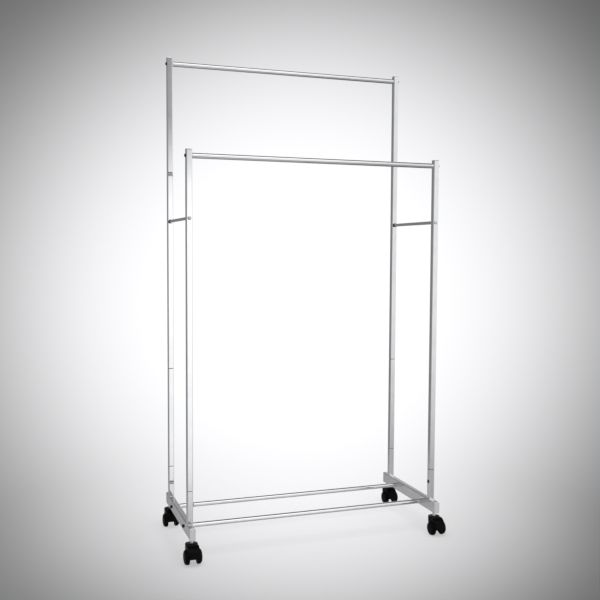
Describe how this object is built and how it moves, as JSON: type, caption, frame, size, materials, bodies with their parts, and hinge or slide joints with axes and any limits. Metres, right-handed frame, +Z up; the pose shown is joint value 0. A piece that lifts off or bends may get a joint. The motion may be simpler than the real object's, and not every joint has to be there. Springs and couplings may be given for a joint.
{
  "type": "rolling clothes rack",
  "caption": "Chrome clothes rack with a high rear rail and a lower front rail on two base beams with twin-wheel swivel casters.",
  "frame": {"origin": "on the floor, under the middle of the whole rack's bounding box, with all casters trailing to the front", "axes": "+X along the rails to the right, +Y from the lower front rail to the higher rear rail, +Z up"},
  "size_m": [0.9582, 0.467, 1.723],
  "materials": {
    "chrome_tube": "bright chrome plating on steel tube",
    "chrome_screw": "bright plated dome-head screw",
    "black_screw": "black coated steel, semi-gloss",
    "grey_cap": "light grey moulded plastic",
    "black_cap": "black moulded plastic",
    "caster_plastic": "black moulded nylon, faint sheen",
    "wheel_plastic": "black moulded nylon tread",
    "zinc_steel": "bright zinc plated steel"
  },
  "bodies": {
    "frame": {"bar_screw_front_left": "black_screw", "bar_screw_front_right": "black_screw", "bar_screw_rear_left": "black_screw", "bar_screw_rear_right": "black_screw", "base_frame_left": "chrome_tube", "base_frame_right": "chrome_tube", "beam_end_cap_front_left": "grey_cap", "beam_end_cap_front_right": "grey_cap", "beam_end_cap_rear_left": "grey_cap", "beam_end_cap_rear_right": "grey_cap", "caster_stem_front_left": "zinc_steel", "caster_stem_front_right": "zinc_steel", "caster_stem_rear_left": "zinc_steel", "caster_stem_rear_right": "zinc_steel", "front_bottom_bar": "chrome_tube", "front_hanging_rail": "chrome_tube", "front_upright_left": "chrome_tube", "front_upright_right": "chrome_tube", "link_rod_left": "chrome_tube", "link_rod_right": "chrome_tube", "link_screw_front_left": "chrome_screw", "link_screw_front_right": "chrome_screw", "link_screw_rear_left": "chrome_screw", "link_screw_rear_right": "chrome_screw", "link_spacer_left": "black_cap", "link_spacer_right": "black_cap", "lock_screw_left": "black_screw", "lock_screw_right": "black_screw", "rail_screw_front_left": "black_screw", "rail_screw_front_right": "black_screw", "rail_screw_rear_left": "black_screw", "rail_screw_rear_right": "black_screw", "rear_bottom_bar": "chrome_tube", "rear_hanging_rail": "chrome_tube", "rear_upright_lower_left": "chrome_tube", "rear_upright_lower_right": "chrome_tube", "rear_upright_upper_left": "chrome_tube", "rear_upright_upper_right": "chrome_tube", "top_cap_front_left": "grey_cap", "top_cap_front_right": "grey_cap", "top_cap_rear_left": "grey_cap", "top_cap_rear_right": "grey_cap"},
    "caster_front_left": {"caster_hood_front_left": "caster_plastic", "caster_axle_front_left": "zinc_steel"},
    "wheel_front_left_left": {"caster_wheel_front_left_left": "wheel_plastic"},
    "wheel_front_left_right": {"caster_wheel_front_left_right": "wheel_plastic"},
    "caster_front_right": {"caster_hood_front_right": "caster_plastic", "caster_axle_front_right": "zinc_steel"},
    "wheel_front_right_left": {"caster_wheel_front_right_left": "wheel_plastic"},
    "wheel_front_right_right": {"caster_wheel_front_right_right": "wheel_plastic"},
    "caster_rear_left": {"caster_hood_rear_left": "caster_plastic", "caster_axle_rear_left": "zinc_steel"},
    "wheel_rear_left_left": {"caster_wheel_rear_left_left": "wheel_plastic"},
    "wheel_rear_left_right": {"caster_wheel_rear_left_right": "wheel_plastic"},
    "caster_rear_right": {"caster_hood_rear_right": "caster_plastic", "caster_axle_rear_right": "zinc_steel"},
    "wheel_rear_right_left": {"caster_wheel_rear_right_left": "wheel_plastic"},
    "wheel_rear_right_right": {"caster_wheel_rear_right_right": "wheel_plastic"}
  },
  "joints": [
    {"name": "swivel_front_left", "type": "hinge", "parent": "frame", "child": "caster_front_left", "pos_m": [-0.45, -0.1845, 0.054], "axis": [0, 0, 1], "continuous": true},
    {"name": "roll_front_left_left", "type": "hinge", "parent": "caster_front_left", "child": "wheel_front_left_left", "pos_m": [-0.47115, -0.2045, 0.025], "axis": [1, 0, 0], "continuous": true},
    {"name": "roll_front_left_right", "type": "hinge", "parent": "caster_front_left", "child": "wheel_front_left_right", "pos_m": [-0.42885, -0.2045, 0.025], "axis": [1, 0, 0], "continuous": true},
    {"name": "swivel_front_right", "type": "hinge", "parent": "frame", "child": "caster_front_right", "pos_m": [0.45, -0.1845, 0.054], "axis": [0, 0, 1], "continuous": true},
    {"name": "roll_front_right_left", "type": "hinge", "parent": "caster_front_right", "child": "wheel_front_right_left", "pos_m": [0.42885, -0.2045, 0.025], "axis": [1, 0, 0], "continuous": true},
    {"name": "roll_front_right_right", "type": "hinge", "parent": "caster_front_right", "child": "wheel_front_right_right", "pos_m": [0.47115, -0.2045, 0.025], "axis": [1, 0, 0], "continuous": true},
    {"name": "swivel_rear_left", "type": "hinge", "parent": "frame", "child": "caster_rear_left", "pos_m": [-0.45, 0.2115, 0.054], "axis": [0, 0, 1], "continuous": true},
    {"name": "roll_rear_left_left", "type": "hinge", "parent": "caster_rear_left", "child": "wheel_rear_left_left", "pos_m": [-0.47115, 0.1915, 0.025], "axis": [1, 0, 0], "continuous": true},
    {"name": "roll_rear_left_right", "type": "hinge", "parent": "caster_rear_left", "child": "wheel_rear_left_right", "pos_m": [-0.42885, 0.1915, 0.025], "axis": [1, 0, 0], "continuous": true},
    {"name": "swivel_rear_right", "type": "hinge", "parent": "frame", "child": "caster_rear_right", "pos_m": [0.45, 0.2115, 0.054], "axis": [0, 0, 1], "continuous": true},
    {"name": "roll_rear_right_left", "type": "hinge", "parent": "caster_rear_right", "child": "wheel_rear_right_left", "pos_m": [0.42885, 0.1915, 0.025], "axis": [1, 0, 0], "continuous": true},
    {"name": "roll_rear_right_right", "type": "hinge", "parent": "caster_rear_right", "child": "wheel_rear_right_right", "pos_m": [0.47115, 0.1915, 0.025], "axis": [1, 0, 0], "continuous": true}
  ]
}
